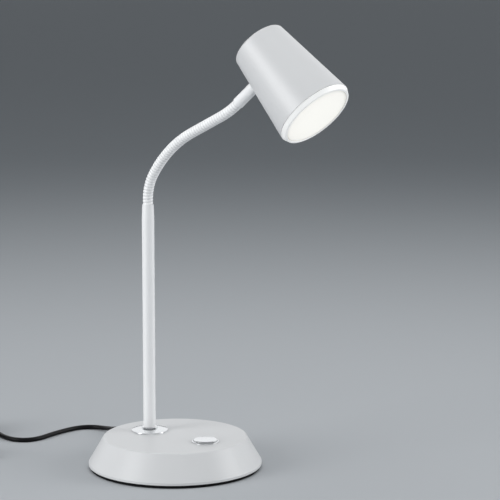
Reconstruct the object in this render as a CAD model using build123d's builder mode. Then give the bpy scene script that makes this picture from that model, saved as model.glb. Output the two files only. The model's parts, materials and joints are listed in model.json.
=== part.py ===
from build123d import *
import math
import os

os.makedirs("parts", exist_ok=True)

# A gooseneck table lamp. Sizes are in millimetres.
# X points forward from the post to the button, Z points up, and the floor is Z = 0.
# The post, the neck and the head lie in the plane Y = 0.

# Fits
slide_gap = 0.3
seat_gap = 0.1
thread_gap = 0.05

# Base shell, pad, plate and weight
base_radius = 84.0
base_top_radius = 69.4
base_height = 27.2
base_lip = 2.2
base_wall = 1.2
base_top_round = 1.8
base_lip_round = 3.0
base_edge_round = 0.5
pad_height = 3.2
pad_inset = 1.8
plate_thickness = 1.5
weight_gap = 2.8
weight_thickness = 9.0
boss_radius = 15.0
pocket_gap = 1.5

# Screws that hold the plate to the weight
plate_screw_radius = 2.0
plate_screw_head = 3.8
plate_screw_length = 8.0
plate_screw_inset = 13.0
plate_screw_angles = (20.0, 220.0, 300.0)

# Post, its rosette and collar, and what clamps it to the weight
post_share = 0.394
post_radius = 6.0
post_bore = 5.0
post_length = 221.0
post_tip_radius = 5.5
post_tip_length = 13.0
rosette_radius = 17.8
rosette_height = 2.6
rosette_rim = 1.2
rosette_flat = 9.0
collar_radius = 7.75
collar_height = 1.8
collar_round = 0.6
nipple_bore = 3.5
nipple_grip = 12.0
nut_across_flats = 14.0
nut_height = 4.0
post_washer_radius = 10.0
post_washer_height = 1.2
post_web = 10.0
nut_room = 11.0

# Push button, its bezel and its switch
button_share = 0.457
button_radius = 11.5
button_proud = 2.6
button_crown = 0.5
button_round = 0.8
button_top = 1.6
button_skirt = 8.0
button_wall = 1.2
button_travel = 2.0
stem_radius = 3.0
stem_collar_radius = 4.2
stem_collar_height = 1.4
bezel_radius = 13.2
bezel_height = 1.3
bezel_round = 0.6
barrel_wall = 0.6
bezel_nut_radius = 15.6
bezel_nut_height = 3.0
switch_flange = 2.0
switch_side = 17.0
switch_depth = 10.0
switch_floor = 1.4
switch_bore = 5.5
spring_wire = 0.7
spring_radius = 4.6
spring_turns = 5

# Neck: a wound hose that leaves the post upright, bends forward and rises again to the head
neck_radius = 4.9
neck_groove = 0.45
neck_rib_slope = 0.22
neck_start = 4.5
neck_bend_radius = 47.0
neck_bend_turn = 33.0
neck_sweep_radius = 122.0
neck_sweep_turn = 30.6
neck_middle = 40.5
neck_rise_radius = 100.0
neck_rise_turn = 14.0
hinge_count = 12
hinge_inset = 4.0
hinge_range = 14.0
ribs_per_link = 5
lower_end_ribs = 4
upper_end_ribs = 6
neck_ball = 3.5
neck_bore = 1.9

# Sleeve between the neck and the shade
sleeve_radius = 5.5
sleeve_length = 29.0
sleeve_round = 0.5
stud_radius = 4.0
stud_length = 11.0
stud_bore = 1.9
head_nut_across_flats = 12.0
head_nut_height = 4.0
saddle_radius = 7.0
saddle_height = 3.0

# Head
shade_rear_radius = 26.0
shade_front_radius = 37.0
shade_length = 86.7
shade_wall = 1.2
shade_rear_round = 2.2
sleeve_from_rear = 23.0
ring_reach = 4.7
ring_front_radius = 34.9
ring_step = 0.3
ring_gap = 0.4
ring_skirt = 12.0
ring_wall = 1.6
ring_ledge = 1.8
ring_ledge_depth = 2.6
ring_round = 0.9
diffuser_radius = 32.9
diffuser_thickness = 2.0
diffuser_recess = 0.6
sink_front = 54.0
sink_thickness = 4.0
sink_fin_height = 12.0
sink_fin_width = 2.0
sink_fin_spacing = 6.0
sink_fin_count = 6
sink_fin_circle = 22.0
led_board_radius = 14.0
led_board_thickness = 1.6
led_size = 3.0
led_height = 0.7
led_circle = 9.0
led_count = 8
reflector_wall = 1.0
reflector_rear_gap = 1.0

# Driver in the base
driver_length = 54.0
driver_width = 24.0
driver_height = 15.0
driver_wall = 1.2
driver_inset = 17.0
driver_overlap = 3.0
driver_rail = 2.0
board_thickness = 1.6
coil_block = (15.0, 15.0, 7.5)
capacitor_radius = 4.0
capacitor_height = 7.0
choke_block = (9.0, 7.0, 6.0)
choke_pitch = 9.5
cover_lip = 1.5

# Wires
core_radius = 0.9
core_spacing = 2.6
core_stub = 4.0
switch_wire_lift = 2.8
lamp_wire_radius = 1.3
lamp_wire_height = 2.0
lamp_wire_bend = 6.0
wire_channel = 5.0
wire_channel_height = 4.5

# Mains lead
lead_radius = 2.3
exit_angle = 160.0
exit_height = 7.8
gland_length = 24.0
gland_flange_radius = 5.6
gland_flange = 2.0
gland_radius = 4.2
gland_tip_radius = 3.2
tail_inside = 20.0
clamp_distance = 9.0
clamp_width = 20.0
clamp_depth = 8.0
clamp_roof = 3.0
clamp_screw_radius = 1.5
clamp_screw_head = 2.6
clamp_screw_head_height = 1.6

# Coil of the put-away length, its ties and the plug
coil_x = -254.0
coil_y = -52.0
coil_outer = 31.0
coil_gap = 0.7
coil_turns = 9.25
coil_layers = 4
tie_thickness = 0.6
tie_width = 7.0
tie_angles = (120.0, 300.0)
plug_width = 34.0
plug_thickness = 13.7
plug_length = 32.0
plug_rear_width = 15.0
plug_rear_thickness = 10.0
plug_round = 4.0
plug_relief_length = 22.0
plug_relief_radius = 4.2
plug_relief_tip = 3.1
plug_pin_radius = 2.0
plug_pin_length = 19.0
plug_pin_spacing = 19.0
plug_pin_depth = 8.0

# Route of the free lead, from the tip of its strain relief to the coil
lead_lift = lead_radius + slide_gap + tie_thickness
lead_route = [
    (-128.2, 50.0, 7.0),
    (-146.5, 58.1, 3.0),
    (-163.1, 54.6, lead_radius),
    (-174.5, 42.0, lead_radius),
    (-177.0, 14.0, lead_radius),
    (-174.5, -12.0, lead_radius),
    (-184.0, -26.1, lead_radius),
    (-200.0, -31.9, lead_radius),
    (-219.3, -26.7, lead_radius),
]
lead_first_run = 18.0
lead_last_run = 13.0
# Route from the coil to the plug
end_route = [
    (-277.0, -88.0, 15.5),
    (-262.0, -101.0, 9.5),
]
end_first_run = 12.0
end_last_run = 16.0
bend_share = 0.45
plug_x = -228.0
plug_y = -106.0


def keep(builder, name):
    """Names a finished piece and writes it."""
    builder.part.label = name
    export_step(builder.part, f"parts/{name}.step")


def polar(radius, angle):
    """Point on the floor at a distance and an angle in degrees from the base's centre."""
    turn = math.radians(angle)
    return Vector(radius * math.cos(turn), radius * math.sin(turn), 0)


def upright(x):
    """Upright section plane and axis through a point of the X axis."""
    return Plane((x, 0, 0), x_dir=(1, 0, 0), z_dir=(0, -1, 0)), Axis((x, 0, 0), (0, 0, 1))


# Levels of the base
shell_low = pad_height
shell_top = shell_low + base_height
shell_ceiling = shell_top - base_wall
plate_top = shell_low + plate_thickness
base_slope = (base_radius - base_top_radius) / (base_height - base_lip)
base_wall_across = base_wall * math.hypot(1, base_slope)


def shell_radius(z):
    """Outer radius of the base's cone at a height."""
    return base_radius - (z - shell_low - base_lip) * base_slope


# Places in the base that follow from its radius
weight_radius = shell_radius(plate_top + weight_thickness) - base_wall_across - weight_gap
plate_screw_circle = weight_radius - plate_screw_inset
post_x = -base_radius * post_share
button_x = base_radius * button_share
driver_y = weight_radius - driver_inset - driver_width / 2

# Mains lead: its exit through the rear of the shell
exit_z = shell_low + exit_height
exit_way = polar(1, exit_angle)
wall_radius = shell_radius(exit_z)
flange_seat = shell_radius(exit_z + gland_flange_radius) - base_wall_across - seat_gap
tip_radius = wall_radius + gland_length
clamp_radius = flange_seat - gland_flange - clamp_distance
tail_end = flange_seat - gland_flange - tail_inside


def exit_plane(radius):
    """Plane across the lead's exit line, facing out, at a distance from the base's centre."""
    return Plane(exit_way * radius + Vector(0, 0, exit_z), x_dir=(0, 0, 1), z_dir=exit_way)


driver_x = post_x + driver_length / 2 - driver_overlap
driver_room_length = driver_length + 2 * pocket_gap
driver_room_width = driver_width + 2 * pocket_gap
switch_room = bezel_nut_radius + slide_gap
nut_ceiling = shell_ceiling - post_web
wire_z = plate_top + lamp_wire_height
nipple_radius = post_bore - thread_gap

# Base shell, spun sheet with a rounded lower lip
section, axis = upright(0)
with BuildPart() as base_shell:
    with BuildSketch(section) as outline:
        inner_lip = base_lip - (base_wall_across - base_wall) / base_slope
        inner_top = shell_radius(shell_ceiling) - base_wall_across
        with BuildLine():
            Polyline(
                (0, shell_top),
                (base_top_radius, shell_top),
                (base_radius, shell_low + base_lip),
                (base_radius, shell_low),
                (base_radius - base_wall, shell_low),
                (base_radius - base_wall, shell_low + inner_lip),
                (inner_top, shell_ceiling),
                (0, shell_ceiling),
                close=True,
            )
        make_face()
        corners = outline.vertices()
        fillet(corners.sort_by_distance((base_top_radius, shell_top))[0], base_top_round)
        fillet(corners.sort_by_distance((base_radius, shell_low + base_lip))[0], base_lip_round)
        fillet(corners.sort_by_distance((base_radius, shell_low))[0], base_edge_round)
    revolve(axis=axis)
    with BuildSketch(Plane.XY.offset(shell_ceiling)):
        with Locations((post_x, 0)):
            Circle(nipple_radius + seat_gap)
        with Locations((button_x, 0)):
            Circle(button_radius + slide_gap + barrel_wall + seat_gap)
    extrude(amount=base_wall, mode=Mode.SUBTRACT)
    with BuildSketch(exit_plane(flange_seat)):
        Circle(gland_radius + seat_gap)
    extrude(amount=gland_length, mode=Mode.SUBTRACT)
keep(base_shell, "base_shell")

with BuildPart() as base_pad:
    with BuildSketch():
        Circle(base_radius - pad_inset)
    extrude(amount=pad_height)
keep(base_pad, "base_pad")

# Steel plate that closes the base, countersunk from below
screw_spots = [polar(plate_screw_circle, angle) for angle in plate_screw_angles]
with BuildPart() as base_plate:
    with BuildSketch(Plane.XY.offset(shell_low)):
        Circle(base_radius - base_wall - slide_gap)
    extrude(amount=plate_thickness)
    with Locations(*[spot + Vector(0, 0, shell_low) for spot in screw_spots]):
        Cone(
            plate_screw_head + seat_gap,
            plate_screw_radius + seat_gap,
            plate_thickness,
            align=(Align.CENTER, Align.CENTER, Align.MIN),
            mode=Mode.SUBTRACT,
        )
keep(base_plate, "base_plate")

with BuildPart() as base_screws:
    with Locations(*[spot + Vector(0, 0, shell_low) for spot in screw_spots]):
        Cone(
            plate_screw_head,
            plate_screw_radius,
            plate_thickness,
            align=(Align.CENTER, Align.CENTER, Align.MIN),
        )
    with Locations(*[spot + Vector(0, 0, plate_top) for spot in screw_spots]):
        Cylinder(
            plate_screw_radius,
            plate_screw_length - plate_thickness,
            align=(Align.CENTER, Align.CENTER, Align.MIN),
        )
keep(base_screws, "base_screws")

# Cast weight with a boss that carries the top of the shell, and room for all that sits in the base
clamp_spot = exit_way * clamp_radius
clamp_room_low = tail_end - clamp_depth - pocket_gap
core_entry_x = driver_x - driver_length / 2
with BuildPart() as base_weight:
    with BuildSketch(Plane.XY.offset(plate_top)):
        Circle(weight_radius)
        with Locations((button_x, 0)):
            Circle(switch_room, mode=Mode.SUBTRACT)
        with Locations((driver_x, driver_y)):
            Rectangle(driver_room_length, driver_room_width, mode=Mode.SUBTRACT)
        with Locations(Location(exit_way * (weight_radius + clamp_room_low) / 2, (0, 0, 1), exit_angle)):
            Rectangle(
                weight_radius - clamp_room_low + clamp_depth,
                clamp_width + 2 * pocket_gap,
                mode=Mode.SUBTRACT,
            )
        with Locations((core_entry_x, driver_y + driver_room_width / 2)):
            Rectangle(
                weight_radius,
                driver_y + driver_room_width / 2 - exit_way.Y * tail_end,
                align=(Align.MAX, Align.MAX),
                mode=Mode.SUBTRACT,
            )
    extrude(amount=weight_thickness)
    with BuildSketch(Plane.XY.offset(plate_top)):
        with Locations((post_x, 0)):
            Circle(boss_radius)
    extrude(amount=shell_ceiling - plate_top)
    with BuildSketch(Plane.XY.offset(plate_top)):
        with Locations((post_x, 0)):
            Circle(nut_room)
    extrude(amount=nut_ceiling - plate_top, mode=Mode.SUBTRACT)
    with BuildSketch(Plane.XY.offset(nut_ceiling)):
        with Locations((post_x, 0)):
            Circle(nipple_radius + seat_gap)
    extrude(amount=post_web, mode=Mode.SUBTRACT)
    with BuildSketch(Plane.XY.offset(plate_top)):
        with Locations((post_x, driver_y / 2)):
            Rectangle(wire_channel, driver_y)
    extrude(amount=wire_channel_height, mode=Mode.SUBTRACT)
    with BuildSketch(Plane.XY.offset(plate_top)):
        with Locations(*screw_spots):
            Circle(plate_screw_radius + thread_gap)
    extrude(amount=plate_screw_length, mode=Mode.SUBTRACT)
keep(base_weight, "base_weight")

# Rosette, collar and post
section, axis = upright(post_x)
rosette_top = shell_top + rosette_height
post_top = rosette_top + post_length
with BuildPart() as rosette:
    with BuildSketch(section):
        with BuildLine():
            Polyline(
                (rosette_flat, rosette_top),
                (nipple_radius + seat_gap, rosette_top),
                (nipple_radius + seat_gap, shell_top),
                (rosette_radius, shell_top),
                (rosette_radius, shell_top + rosette_rim),
            )
            TangentArc(
                (rosette_flat, rosette_top),
                (rosette_radius, shell_top + rosette_rim),
                tangent=(1, 0),
            )
        make_face()
    revolve(axis=axis)
keep(rosette, "rosette")

with BuildPart() as post_collar:
    with BuildSketch(Plane.XY.offset(rosette_top)):
        with Locations((post_x, 0)):
            Circle(collar_radius)
            Circle(post_radius + thread_gap, mode=Mode.SUBTRACT)
    extrude(amount=collar_height)
    fillet(post_collar.faces().sort_by(Axis.Z)[-1].outer_wire().edges(), collar_round)
keep(post_collar, "post_collar")

with BuildPart() as post:
    with BuildSketch(section):
        with BuildLine():
            Polyline(
                (post_bore, rosette_top),
                (post_radius, rosette_top),
                (post_radius, post_top - post_tip_length),
                (post_tip_radius, post_top),
                (post_bore, post_top),
                close=True,
            )
        make_face()
    revolve(axis=axis)
keep(post, "post")

nipple_low = nut_ceiling - post_washer_height - nut_height
with BuildPart() as post_nipple:
    with BuildSketch(Plane.XY.offset(nipple_low)):
        with Locations((post_x, 0)):
            Circle(nipple_radius)
            Circle(nipple_bore, mode=Mode.SUBTRACT)
    extrude(amount=rosette_top + nipple_grip - nipple_low)
keep(post_nipple, "post_nipple")

with BuildPart() as post_washer:
    with BuildSketch(Plane.XY.offset(nut_ceiling - post_washer_height)):
        with Locations((post_x, 0)):
            Circle(post_washer_radius)
            Circle(nipple_radius + seat_gap, mode=Mode.SUBTRACT)
    extrude(amount=post_washer_height)
keep(post_washer, "post_washer")

with BuildPart() as post_nut:
    with BuildSketch(Plane.XY.offset(nipple_low)):
        with Locations((post_x, 0)):
            RegularPolygon(nut_across_flats / 2, 6, major_radius=False)
            Circle(nipple_radius + thread_gap, mode=Mode.SUBTRACT)
    extrude(amount=nut_height)
keep(post_nut, "post_nut")

# Push button: bezel with its barrel and ring nut, switch, sliding cap and return spring
section, axis = upright(button_x)
barrel_inner = button_radius + slide_gap
barrel_outer = barrel_inner + barrel_wall
barrel_low = shell_top + button_proud - button_skirt - button_travel - slide_gap
switch_low = barrel_low - switch_flange - switch_depth
with BuildPart() as button_bezel:
    with BuildSketch(section) as outline:
        with BuildLine():
            Polyline(
                (barrel_inner, barrel_low),
                (barrel_outer, barrel_low),
                (barrel_outer, shell_top),
                (bezel_radius, shell_top),
                (bezel_radius, shell_top + bezel_height),
                (barrel_inner, shell_top + bezel_height),
                close=True,
            )
        make_face()
        lip = outline.vertices().sort_by_distance((bezel_radius, shell_top + bezel_height))[0]
        fillet(lip, bezel_round)
    revolve(axis=axis)
keep(button_bezel, "button_bezel")

with BuildPart() as bezel_nut:
    with BuildSketch(Plane.XY.offset(shell_ceiling - bezel_nut_height)):
        with Locations((button_x, 0)):
            Circle(bezel_nut_radius)
            Circle(barrel_outer + thread_gap, mode=Mode.SUBTRACT)
    extrude(amount=bezel_nut_height)
keep(bezel_nut, "bezel_nut")

switch_top = barrel_low
switch_roof = switch_top - switch_flange
with BuildPart() as switch_body:
    with BuildSketch(Plane.XY.offset(switch_roof)):
        with Locations((button_x, 0)):
            Circle(barrel_outer)
    extrude(amount=switch_flange)
    with BuildSketch(Plane.XY.offset(switch_low)):
        with Locations((button_x, 0)):
            RectangleRounded(switch_side, switch_side, switch_floor)
    extrude(amount=switch_depth)
    with BuildSketch(Plane.XY.offset(switch_low + switch_floor)):
        with Locations((button_x, 0)):
            Circle(switch_bore)
    extrude(amount=switch_depth - switch_floor, mode=Mode.SUBTRACT)
    with BuildSketch(Plane.XY.offset(switch_roof)):
        with Locations((button_x, 0)):
            Circle(stem_radius + slide_gap)
    extrude(amount=switch_flange, mode=Mode.SUBTRACT)
keep(switch_body, "switch_body")

cap_edge = shell_top + button_proud
cap_under = cap_edge - button_top
cap_low = cap_edge - button_skirt
collar_top = switch_roof - slide_gap
with BuildPart() as button_cap:
    with BuildSketch(section) as outline:
        with BuildLine():
            Polyline(
                (0, cap_edge + button_crown),
                (0, collar_top - stem_collar_height),
                (stem_collar_radius, collar_top - stem_collar_height),
                (stem_collar_radius, collar_top),
                (stem_radius, collar_top),
                (stem_radius, cap_under),
                (button_radius - button_wall, cap_under),
                (button_radius - button_wall, cap_low),
                (button_radius, cap_low),
                (button_radius, cap_edge),
            )
            TangentArc(
                (0, cap_edge + button_crown),
                (button_radius, cap_edge),
                tangent=(1, 0),
            )
        make_face()
        edge = outline.vertices().sort_by_distance((button_radius, cap_edge))[0]
        fillet(edge, button_round)
    revolve(axis=axis)
keep(button_cap, "button_cap")

spring_low = switch_top + spring_wire / 2 + thread_gap
spring_height = cap_under - switch_top - spring_wire - 2 * thread_gap
with BuildPart() as button_spring:
    with BuildLine():
        Helix(
            spring_height / spring_turns,
            spring_height,
            spring_radius,
            center=(button_x, 0, spring_low),
        )
    with BuildSketch(Plane((button_x + spring_radius, 0, spring_low), z_dir=(0, 1, 0))):
        Circle(spring_wire / 2)
    sweep(is_frenet=True)
keep(button_spring, "button_spring")

# Neck: centreline as runs of a length and a curvature, and stations measured along it from the post's rim
neck_runs = [
    (neck_start, 0),
    (neck_bend_radius * math.radians(neck_bend_turn), -1 / neck_bend_radius),
    (neck_sweep_radius * math.radians(neck_sweep_turn), -1 / neck_sweep_radius),
    (neck_middle, 0),
    (neck_rise_radius * math.radians(neck_rise_turn), 1 / neck_rise_radius),
]
neck_length = sum(length for length, curve in neck_runs)


def neck_station(along):
    """X, Z and heading above the horizontal, in radians, of the neck's centreline."""
    x, z, heading = post_x, post_top, math.pi / 2
    if along <= 0:
        return x, z + along, heading
    for length, curve in neck_runs + [(math.inf, 0)]:
        step = min(length, along)
        turn = step * curve
        chord = step if curve == 0 else 2 / abs(curve) * math.sin(abs(turn) / 2)
        x += chord * math.cos(heading + turn / 2)
        z += chord * math.sin(heading + turn / 2)
        heading += turn
        along -= step
        if along <= 0:
            return x, z, heading


def neck_plane(along):
    """Plane across the neck at a station, with its X axis steady along Y."""
    x, z, heading = neck_station(along)
    return Plane((x, 0, z), x_dir=(0, 1, 0), z_dir=(math.cos(heading), 0, math.sin(heading)))


link_pitch = (neck_length - 2 * hinge_inset) / (hinge_count - 1)
rib_pitch = link_pitch / ribs_per_link
link_gap = 2 * neck_radius * math.tan(math.radians(hinge_range) / 2) + slide_gap
rib_width = rib_pitch - link_gap
hinge_stations = [hinge_inset + number * link_pitch for number in range(hinge_count)]
link_ribs = [lower_end_ribs] + [ribs_per_link] * (hinge_count - 1) + [upper_end_ribs]
link_lows = [hinge_stations[0] + link_gap / 2 - lower_end_ribs * rib_pitch]
link_lows += [station + link_gap / 2 for station in hinge_stations]
socket_radius = neck_ball + seat_gap
groove_radius = neck_radius - neck_groove

for number, low in enumerate(link_lows):
    high = low + link_ribs[number] * rib_pitch - link_gap
    is_first = number == 0
    is_last = number == hinge_count
    with BuildPart() as neck_link:
        for rib in range(link_ribs[number]):
            start = low + rib * rib_pitch
            with BuildSketch(neck_plane(start)):
                Circle(neck_radius)
            with BuildSketch(neck_plane(start + rib_width)):
                Circle(neck_radius)
            if rib < link_ribs[number] - 1:
                with BuildSketch(neck_plane(start + rib_width + neck_rib_slope)):
                    Circle(groove_radius)
                with BuildSketch(neck_plane(start + rib_pitch - neck_rib_slope)):
                    Circle(groove_radius)
        loft(ruled=True)
        bore_low = low
        bore_high = high
        if not is_first:
            bore_low = hinge_stations[number - 1]
            with Locations(neck_plane(bore_low)):
                Sphere(socket_radius, mode=Mode.SUBTRACT)
        if not is_last:
            bore_high = hinge_stations[number] + socket_radius
            with Locations(neck_plane(hinge_stations[number])):
                Sphere(neck_ball)
        for step in range(ribs_per_link + 1):
            with BuildSketch(neck_plane(bore_low + (bore_high - bore_low) * step / ribs_per_link)):
                Circle(neck_bore)
        loft(ruled=True, mode=Mode.SUBTRACT)
    keep(neck_link, f"neck_link_{number + 1:02d}")
neck_end = high

# Head: its axis leans so that the sleeve meets the shade's wall square
shade_slope = (shade_front_radius - shade_rear_radius) / shade_length
shade_lean = math.atan(shade_slope)
shade_wall_across = shade_wall / math.cos(shade_lean)
sleeve_seat = neck_length + sleeve_length
seat_x, seat_z, sleeve_heading = neck_station(sleeve_seat)
head_heading = sleeve_heading + shade_lean - math.pi / 2
head_way = Vector(math.cos(head_heading), 0, math.sin(head_heading))
head_up = Vector(-math.sin(head_heading), 0, math.cos(head_heading))


def shade_radius(along):
    """Outer radius of the shade at a distance from its rear end."""
    return shade_rear_radius + along * shade_slope


head_origin = (
    Vector(seat_x, 0, seat_z)
    - head_way * sleeve_from_rear
    + head_up * shade_radius(sleeve_from_rear)
)
head_section = Plane(head_origin, x_dir=head_up, z_dir=(0, 1, 0))
head_axis = Axis(head_origin, head_way)


def head_plane(along):
    """Plane across the head at a distance from its rear end, facing the mouth."""
    return Plane(head_origin + head_way * along, x_dir=(0, 1, 0), z_dir=head_way)


with BuildPart() as shade:
    with BuildSketch(head_section) as outline:
        with BuildLine():
            Polyline(
                (0, 0),
                (shade_rear_radius, 0),
                (shade_front_radius, shade_length),
                (shade_front_radius - shade_wall_across, shade_length),
                (shade_radius(shade_wall) - shade_wall_across, shade_wall),
                (0, shade_wall),
                close=True,
            )
        make_face()
        fillet(outline.vertices().sort_by_distance((shade_rear_radius, 0))[0], shade_rear_round)
        inner_corner = (shade_radius(shade_wall) - shade_wall_across, shade_wall)
        fillet(
            outline.vertices().sort_by_distance(inner_corner)[0], shade_rear_round - shade_wall
        )
    revolve(axis=head_axis)
    with BuildSketch(neck_plane(sleeve_seat - sleeve_radius)):
        Circle(stud_radius + seat_gap)
    extrude(amount=sleeve_radius + stud_length, mode=Mode.SUBTRACT)
keep(shade, "shade")

# Sleeve: the neck's end sits in it, and a threaded stud goes through the shade's wall
with BuildPart() as neck_sleeve:
    with BuildSketch(neck_plane(neck_length)):
        Circle(sleeve_radius)
    extrude(amount=sleeve_length + sleeve_radius)
    rims = neck_sleeve.edges().filter_by(GeomType.CIRCLE)
    fillet(rims.sort_by_distance(neck_plane(neck_length).origin)[0], sleeve_round)
    with Locations(head_plane(0)):
        Cone(
            shade_rear_radius + thread_gap,
            shade_front_radius + thread_gap,
            shade_length,
            align=(Align.CENTER, Align.CENTER, Align.MIN),
            mode=Mode.SUBTRACT,
        )
    with BuildSketch(neck_plane(sleeve_seat - sleeve_radius)):
        Circle(stud_radius)
    extrude(amount=sleeve_radius + stud_length)
    with BuildSketch(neck_plane(neck_length)):
        Circle(neck_radius + seat_gap)
    extrude(amount=neck_end - neck_length + thread_gap, mode=Mode.SUBTRACT)
    with BuildSketch(neck_plane(neck_length)):
        Circle(stud_bore)
    extrude(amount=sleeve_length + stud_length, mode=Mode.SUBTRACT)
keep(neck_sleeve, "neck_sleeve")

with BuildPart() as head_saddle:
    with BuildSketch(neck_plane(sleeve_seat)):
        Circle(saddle_radius)
        Circle(stud_radius + seat_gap, mode=Mode.SUBTRACT)
    extrude(amount=shade_wall + saddle_height)
    with Locations(head_plane(0)):
        Cone(
            shade_rear_radius - shade_wall_across - thread_gap,
            shade_front_radius - shade_wall_across - thread_gap,
            shade_length,
            align=(Align.CENTER, Align.CENTER, Align.MIN),
            mode=Mode.INTERSECT,
        )
keep(head_saddle, "head_saddle")

with BuildPart() as head_nut:
    with BuildSketch(neck_plane(sleeve_seat + shade_wall + saddle_height)):
        RegularPolygon(head_nut_across_flats / 2, 6, major_radius=False)
        Circle(stud_radius + thread_gap, mode=Mode.SUBTRACT)
    extrude(amount=head_nut_height)
keep(head_nut, "head_nut")

# Heat sink wedged in the shade's taper, with fins to the rear
sink_rear = sink_front - sink_thickness
inner_shift = shade_wall_across + seat_gap
with BuildPart() as heat_sink:
    with BuildSketch(head_section):
        with BuildLine():
            Polyline(
                (0, sink_rear),
                (shade_radius(sink_rear) - inner_shift, sink_rear),
                (shade_radius(sink_front) - inner_shift, sink_front),
                (0, sink_front),
                close=True,
            )
        make_face()
    revolve(axis=head_axis)
    with BuildSketch(head_plane(sink_rear - sink_fin_height)):
        Circle(sink_fin_circle)
        with GridLocations(sink_fin_spacing, 1, sink_fin_count + 1, 1):
            Rectangle(sink_fin_spacing - sink_fin_width, 2 * sink_fin_circle, mode=Mode.SUBTRACT)
    extrude(amount=sink_fin_height)
keep(heat_sink, "heat_sink")

with BuildPart() as led_board:
    with BuildSketch(head_plane(sink_front)):
        Circle(led_board_radius)
    extrude(amount=led_board_thickness)
keep(led_board, "led_board")

with BuildPart() as led_chips:
    with BuildSketch(head_plane(sink_front + led_board_thickness)):
        Rectangle(led_size, led_size)
        with PolarLocations(led_circle, led_count):
            Rectangle(led_size, led_size)
    extrude(amount=led_height)
keep(led_chips, "led_chips")

# Front ring with its skirt in the shade's mouth, diffuser in its rebate, reflector behind it
ring_front = shade_length + ring_reach
diffuser_rear = ring_front - diffuser_recess - diffuser_thickness
ledge_radius = diffuser_radius - ring_ledge
skirt_rear = shade_length - ring_skirt
ledge_rear = diffuser_rear - ring_ledge_depth
with BuildPart() as front_ring:
    with BuildSketch(head_section) as outline:
        with BuildLine():
            Polyline(
                (shade_radius(skirt_rear) - inner_shift, skirt_rear),
                (shade_radius(shade_length) - inner_shift, shade_length),
                (shade_radius(shade_length) - inner_shift, shade_length + ring_gap),
                (shade_front_radius - ring_step, shade_length + ring_gap),
                (ring_front_radius, ring_front),
                (diffuser_radius + seat_gap, ring_front),
                (diffuser_radius + seat_gap, diffuser_rear),
                (ledge_radius, diffuser_rear),
                (ledge_radius, ledge_rear),
                (shade_radius(ledge_rear) - inner_shift - ring_wall, ledge_rear),
                (shade_radius(skirt_rear) - inner_shift - ring_wall, skirt_rear),
                close=True,
            )
        make_face()
        fillet(outline.vertices().sort_by_distance((ring_front_radius, ring_front))[0], ring_round)
    revolve(axis=head_axis)
keep(front_ring, "front_ring")

with BuildPart() as diffuser:
    with BuildSketch(head_plane(diffuser_rear)):
        Circle(diffuser_radius)
    extrude(amount=diffuser_thickness)
keep(diffuser, "diffuser")

reflector_rear_radius = led_board_radius + reflector_rear_gap
reflector_front = diffuser_rear - seat_gap
reflector_front_radius = ledge_radius - seat_gap
with BuildPart() as reflector:
    with BuildSketch(head_section):
        with BuildLine():
            Polyline(
                (reflector_rear_radius, sink_front),
                (reflector_rear_radius + reflector_wall, sink_front),
                (reflector_front_radius, reflector_front),
                (reflector_front_radius - reflector_wall, reflector_front),
                close=True,
            )
        make_face()
    revolve(axis=head_axis)
keep(reflector, "reflector")

# Driver: tray on the plate, board on its rails, parts on the board, cover
tray_low = plate_top
tray_top = tray_low + driver_height
board_low = tray_low + driver_wall + driver_rail
board_top = board_low + board_thickness
tray_inner_length = driver_length - 2 * driver_wall
tray_inner_width = driver_width - 2 * driver_wall
with BuildPart() as driver_tray:
    with BuildSketch(Plane.XY.offset(tray_low)):
        with Locations((driver_x, driver_y)):
            Rectangle(driver_length, driver_width)
    extrude(amount=driver_height)
    with BuildSketch(Plane.XY.offset(tray_low + driver_wall)):
        with Locations((driver_x, driver_y)):
            Rectangle(tray_inner_length, tray_inner_width)
    extrude(amount=driver_height - driver_wall, mode=Mode.SUBTRACT)
    with BuildSketch(Plane.XY.offset(tray_low + driver_wall)):
        with Locations((driver_x, driver_y)):
            with GridLocations(1, tray_inner_width - driver_rail, 1, 2):
                Rectangle(tray_inner_length, driver_rail)
    extrude(amount=driver_rail)
keep(driver_tray, "driver_tray")

with BuildPart() as driver_board:
    with BuildSketch(Plane.XY.offset(board_low)):
        with Locations((driver_x, driver_y)):
            Rectangle(tray_inner_length - 2 * slide_gap, tray_inner_width - 2 * slide_gap)
    extrude(amount=board_thickness)
keep(driver_board, "driver_board")

with BuildPart() as driver_parts:
    with Locations((driver_x, driver_y, board_top)):
        Box(*coil_block, align=(Align.CENTER, Align.CENTER, Align.MIN))
    with Locations((driver_x + coil_block[0], driver_y, board_top)):
        Cylinder(
            capacitor_radius,
            capacitor_height,
            align=(Align.CENTER, Align.CENTER, Align.MIN),
        )
    with Locations((driver_x - coil_block[0], driver_y, board_top)):
        with GridLocations(1, choke_pitch, 1, 2):
            Box(*choke_block, align=(Align.CENTER, Align.CENTER, Align.MIN))
keep(driver_parts, "driver_parts")

with BuildPart() as driver_cover:
    with BuildSketch(Plane.XY.offset(tray_top)):
        with Locations((driver_x, driver_y)):
            Rectangle(driver_length, driver_width)
    extrude(amount=driver_wall)
    with BuildSketch(Plane.XY.offset(tray_top - cover_lip)):
        with Locations((driver_x, driver_y)):
            Rectangle(tray_inner_length - 2 * seat_gap, tray_inner_width - 2 * seat_gap)
            Rectangle(
                tray_inner_length - 2 * driver_wall,
                tray_inner_width - 2 * driver_wall,
                mode=Mode.SUBTRACT,
            )
    extrude(amount=cover_lip)
keep(driver_cover, "driver_cover")

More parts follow.
